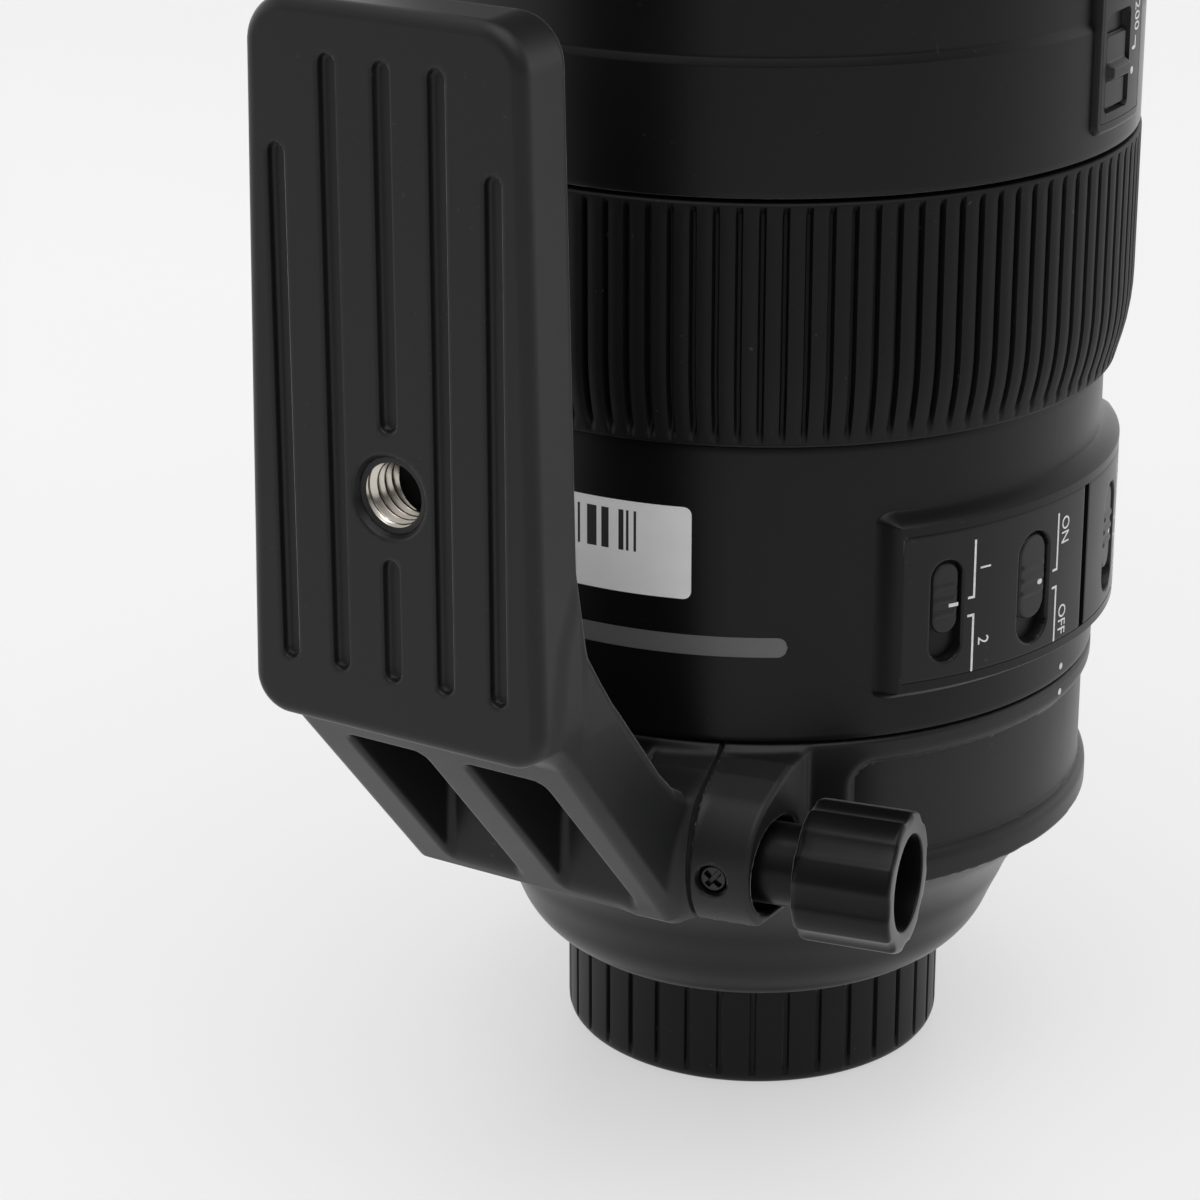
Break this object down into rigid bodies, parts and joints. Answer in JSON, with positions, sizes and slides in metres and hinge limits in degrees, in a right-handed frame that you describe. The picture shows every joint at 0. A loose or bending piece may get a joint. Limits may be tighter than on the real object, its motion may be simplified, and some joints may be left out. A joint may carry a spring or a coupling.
{
  "type": "camera zoom lens",
  "caption": "Telephoto zoom lens standing on its rear cap, with a turning tripod collar and grooved foot, clamp knob, focus and zoom rings, sliding switches and an extending front.",
  "frame": {"origin": "on the optical axis, on the flat base of the rear cap that the lens stands on", "axes": "+Z along the optical axis towards the front of the lens, -Y out through the foot of the tripod collar, +X to the side with the clamp knob and the switches"},
  "size_m": [0.108, 0.147, 0.2838],
  "materials": {
    "cap_plastic": "moulded black plastic, matt",
    "mount_metal": "satin chromed brass",
    "steel": "turned steel",
    "dark_steel": "blackened steel",
    "contact_gold": "brass, gold plated on the contacts",
    "housing_paint": "light alloy with fine matt black paint",
    "collar_paint": "cast light alloy with fine matt charcoal paint",
    "bush_nickel": "nickel plated",
    "knob_black": "satin black alloy",
    "panel_plastic": "moulded black plastic",
    "slider_plastic": "moulded black plastic",
    "inner_black": "black anodised alloy",
    "ring_black": "black anodised alloy",
    "grip_rubber": "ribbed black rubber",
    "bare_alloy": "machined alloy",
    "board_green": "circuit board",
    "lens_glass": "coated optical glass"
  },
  "bodies": {
    "barrel": {"mount_flange": "mount_metal", "mount_screws": "steel", "contact_block": "inner_black", "contact_pins": "contact_gold", "rear_housing": "housing_paint", "rear_cell": "inner_black", "rear_lenses": "lens_glass", "main_barrel": "housing_paint", "switch_panel_left": "panel_plastic", "switch_panel_right": "panel_plastic", "main_board": "board_green", "stabiliser_base": "inner_black", "iris_housing": "inner_black", "iris_cover": "inner_black", "motor_stator": "contact_gold", "focus_guide": "inner_black", "mid_barrel": "housing_paint", "zoom_lock_plate": "panel_plastic", "guide_barrel": "bare_alloy"},
    "cap": {"rear_cap": "cap_plastic"},
    "collar": {"tripod_collar": "collar_paint", "foot_thread_bush": "bush_nickel", "stop_screw": "dark_steel"},
    "knob": {"collar_knob": "knob_black", "clamp_stud": "steel"},
    "slider_1": {"switch_slider_1": "slider_plastic"},
    "slider_2": {"switch_slider_2": "slider_plastic"},
    "slider_3": {"switch_slider_3": "slider_plastic"},
    "slider_4": {"switch_slider_4": "slider_plastic"},
    "stabiliser_x": {"stabiliser_frame": "bare_alloy"},
    "stabiliser_y": {"stabiliser_cell": "inner_black", "stabiliser_lenses": "lens_glass"},
    "iris_drive": {"iris_drive_ring": "bare_alloy"},
    "blade_1": {"iris_blade_1": "dark_steel"},
    "blade_2": {"iris_blade_2": "dark_steel"},
    "blade_3": {"iris_blade_3": "dark_steel"},
    "blade_4": {"iris_blade_4": "dark_steel"},
    "blade_5": {"iris_blade_5": "dark_steel"},
    "blade_6": {"iris_blade_6": "dark_steel"},
    "blade_7": {"iris_blade_7": "dark_steel"},
    "blade_8": {"iris_blade_8": "dark_steel"},
    "blade_9": {"iris_blade_9": "dark_steel"},
    "focus_hand": {"focus_ring": "ring_black", "focus_grip": "grip_rubber"},
    "focus_drive": {"motor_rotor": "bare_alloy", "focus_cam": "bare_alloy"},
    "focus_group": {"focus_cell": "inner_black", "focus_lenses": "lens_glass"},
    "zoom_lock": {"zoom_lock_slider": "slider_plastic"},
    "zoom_hand": {"zoom_ring": "ring_black", "zoom_grip": "grip_rubber", "zoom_key": "steel", "cam_barrel": "bare_alloy"},
    "variator_group": {"variator_cell": "inner_black", "variator_lenses": "lens_glass"},
    "front_group": {"extension_tube": "ring_black", "cam_followers": "contact_gold", "front_barrel": "housing_paint", "front_cell": "inner_black", "front_lenses": "lens_glass"}
  },
  "joints": [
    {"name": "cap_twist", "type": "hinge", "parent": "barrel", "child": "cap", "pos_m": [0, 0, 0], "axis": [0, 0, 1], "range_deg": [0, 58]},
    {"name": "collar_turn", "type": "hinge", "parent": "barrel", "child": "collar", "pos_m": [0, 0, 0.0517], "axis": [0, 0, 1], "continuous": true},
    {"name": "knob_turn", "type": "hinge", "parent": "collar", "child": "knob", "pos_m": [0.01023, -0.05119, 0.04915], "axis": [0.9806, 0.1959, 0], "range_deg": [0, 540]},
    {"name": "slider_1_slide", "type": "slide", "parent": "barrel", "child": "slider_1", "axis": [0, 0, -1], "range_m": [0, 0.0035]},
    {"name": "slider_2_slide", "type": "slide", "parent": "barrel", "child": "slider_2", "axis": [0, 0, -1], "range_m": [0, 0.003]},
    {"name": "slider_3_slide", "type": "slide", "parent": "barrel", "child": "slider_3", "axis": [0, 0, -1], "range_m": [0, 0.003]},
    {"name": "slider_4_slide", "type": "slide", "parent": "barrel", "child": "slider_4", "axis": [0, 0, -1], "range_m": [0, 0.0035]},
    {"name": "stabiliser_x_shift", "type": "slide", "parent": "barrel", "child": "stabiliser_x", "axis": [1, 0, 0], "range_m": [-0.001, 0.001]},
    {"name": "stabiliser_y_shift", "type": "slide", "parent": "stabiliser_x", "child": "stabiliser_y", "axis": [0, 1, 0], "range_m": [-0.001, 0.001]},
    {"name": "iris_turn", "type": "hinge", "parent": "barrel", "child": "iris_drive", "pos_m": [0, 0, 0.0763], "axis": [0, 0, 1], "range_deg": [0, 4.87]},
    {"name": "blade_1_swing", "type": "hinge", "parent": "barrel", "child": "blade_1", "pos_m": [0, -0.032, 0.0723], "axis": [0, 0, 1], "range_deg": [0, 42]},
    {"name": "blade_2_swing", "type": "hinge", "parent": "barrel", "child": "blade_2", "pos_m": [0.02057, -0.02451, 0.0723], "axis": [0, 0, 1], "range_deg": [0, 42]},
    {"name": "blade_3_swing", "type": "hinge", "parent": "barrel", "child": "blade_3", "pos_m": [0.03151, -0.00556, 0.0723], "axis": [0, 0, 1], "range_deg": [0, 42]},
    {"name": "blade_4_swing", "type": "hinge", "parent": "barrel", "child": "blade_4", "pos_m": [0.02771, 0.016, 0.0723], "axis": [0, 0, 1], "range_deg": [0, 42]},
    {"name": "blade_5_swing", "type": "hinge", "parent": "barrel", "child": "blade_5", "pos_m": [0.01094, 0.03007, 0.0723], "axis": [0, 0, 1], "range_deg": [0, 42]},
    {"name": "blade_6_swing", "type": "hinge", "parent": "barrel", "child": "blade_6", "pos_m": [-0.01094, 0.03007, 0.0723], "axis": [0, 0, 1], "range_deg": [0, 42]},
    {"name": "blade_7_swing", "type": "hinge", "parent": "barrel", "child": "blade_7", "pos_m": [-0.02771, 0.016, 0.0723], "axis": [0, 0, 1], "range_deg": [0, 42]},
    {"name": "blade_8_swing", "type": "hinge", "parent": "barrel", "child": "blade_8", "pos_m": [-0.03151, -0.00556, 0.0723], "axis": [0, 0, 1], "range_deg": [0, 42]},
    {"name": "blade_9_swing", "type": "hinge", "parent": "barrel", "child": "blade_9", "pos_m": [-0.02057, -0.02451, 0.0723], "axis": [0, 0, 1], "range_deg": [0, 42]},
    {"name": "focus_hand_turn", "type": "hinge", "parent": "barrel", "child": "focus_hand", "pos_m": [0, 0, 0.123], "axis": [0, 0, 1], "continuous": true},
    {"name": "focus_drive_turn", "type": "hinge", "parent": "barrel", "child": "focus_drive", "pos_m": [0, 0, 0.0933], "axis": [0, 0, 1], "range_deg": [0, 90]},
    {"name": "focus_group_slide", "type": "slide", "parent": "barrel", "child": "focus_group", "axis": [0, 0, 1], "range_m": [0, 0.012]},
    {"name": "zoom_hand_turn", "type": "hinge", "parent": "barrel", "child": "zoom_hand", "pos_m": [0, 0, 0.212], "axis": [0, 0, 1], "range_deg": [0, 90]},
    {"name": "variator_slide", "type": "slide", "parent": "barrel", "child": "variator_group", "axis": [0, 0, 1], "range_m": [0, 0.025]},
    {"name": "front_slide", "type": "slide", "parent": "barrel", "child": "front_group", "axis": [0, 0, 1], "range_m": [0, 0.08]},
    {"name": "zoom_lock_slide", "type": "slide", "parent": "barrel", "child": "zoom_lock", "axis": [0, 0, 1], "range_m": [0, 0.0025]}
  ],
  "couplings": [
    {"joint": "blade_1_swing", "follows": "iris_turn", "ratio": 8.6252},
    {"joint": "blade_2_swing", "follows": "iris_turn", "ratio": 8.6252},
    {"joint": "blade_3_swing", "follows": "iris_turn", "ratio": 8.6252},
    {"joint": "blade_4_swing", "follows": "iris_turn", "ratio": 8.6252},
    {"joint": "blade_5_swing", "follows": "iris_turn", "ratio": 8.6252},
    {"joint": "blade_6_swing", "follows": "iris_turn", "ratio": 8.6252},
    {"joint": "blade_7_swing", "follows": "iris_turn", "ratio": 8.6252},
    {"joint": "blade_8_swing", "follows": "iris_turn", "ratio": 8.6252},
    {"joint": "blade_9_swing", "follows": "iris_turn", "ratio": 8.6252},
    {"joint": "focus_group_slide", "follows": "focus_drive_turn", "m_per_rad": 0.0076394},
    {"joint": "variator_slide", "follows": "zoom_hand_turn", "m_per_rad": 0.015915},
    {"joint": "front_slide", "follows": "zoom_hand_turn", "m_per_rad": 0.05093}
  ]
}
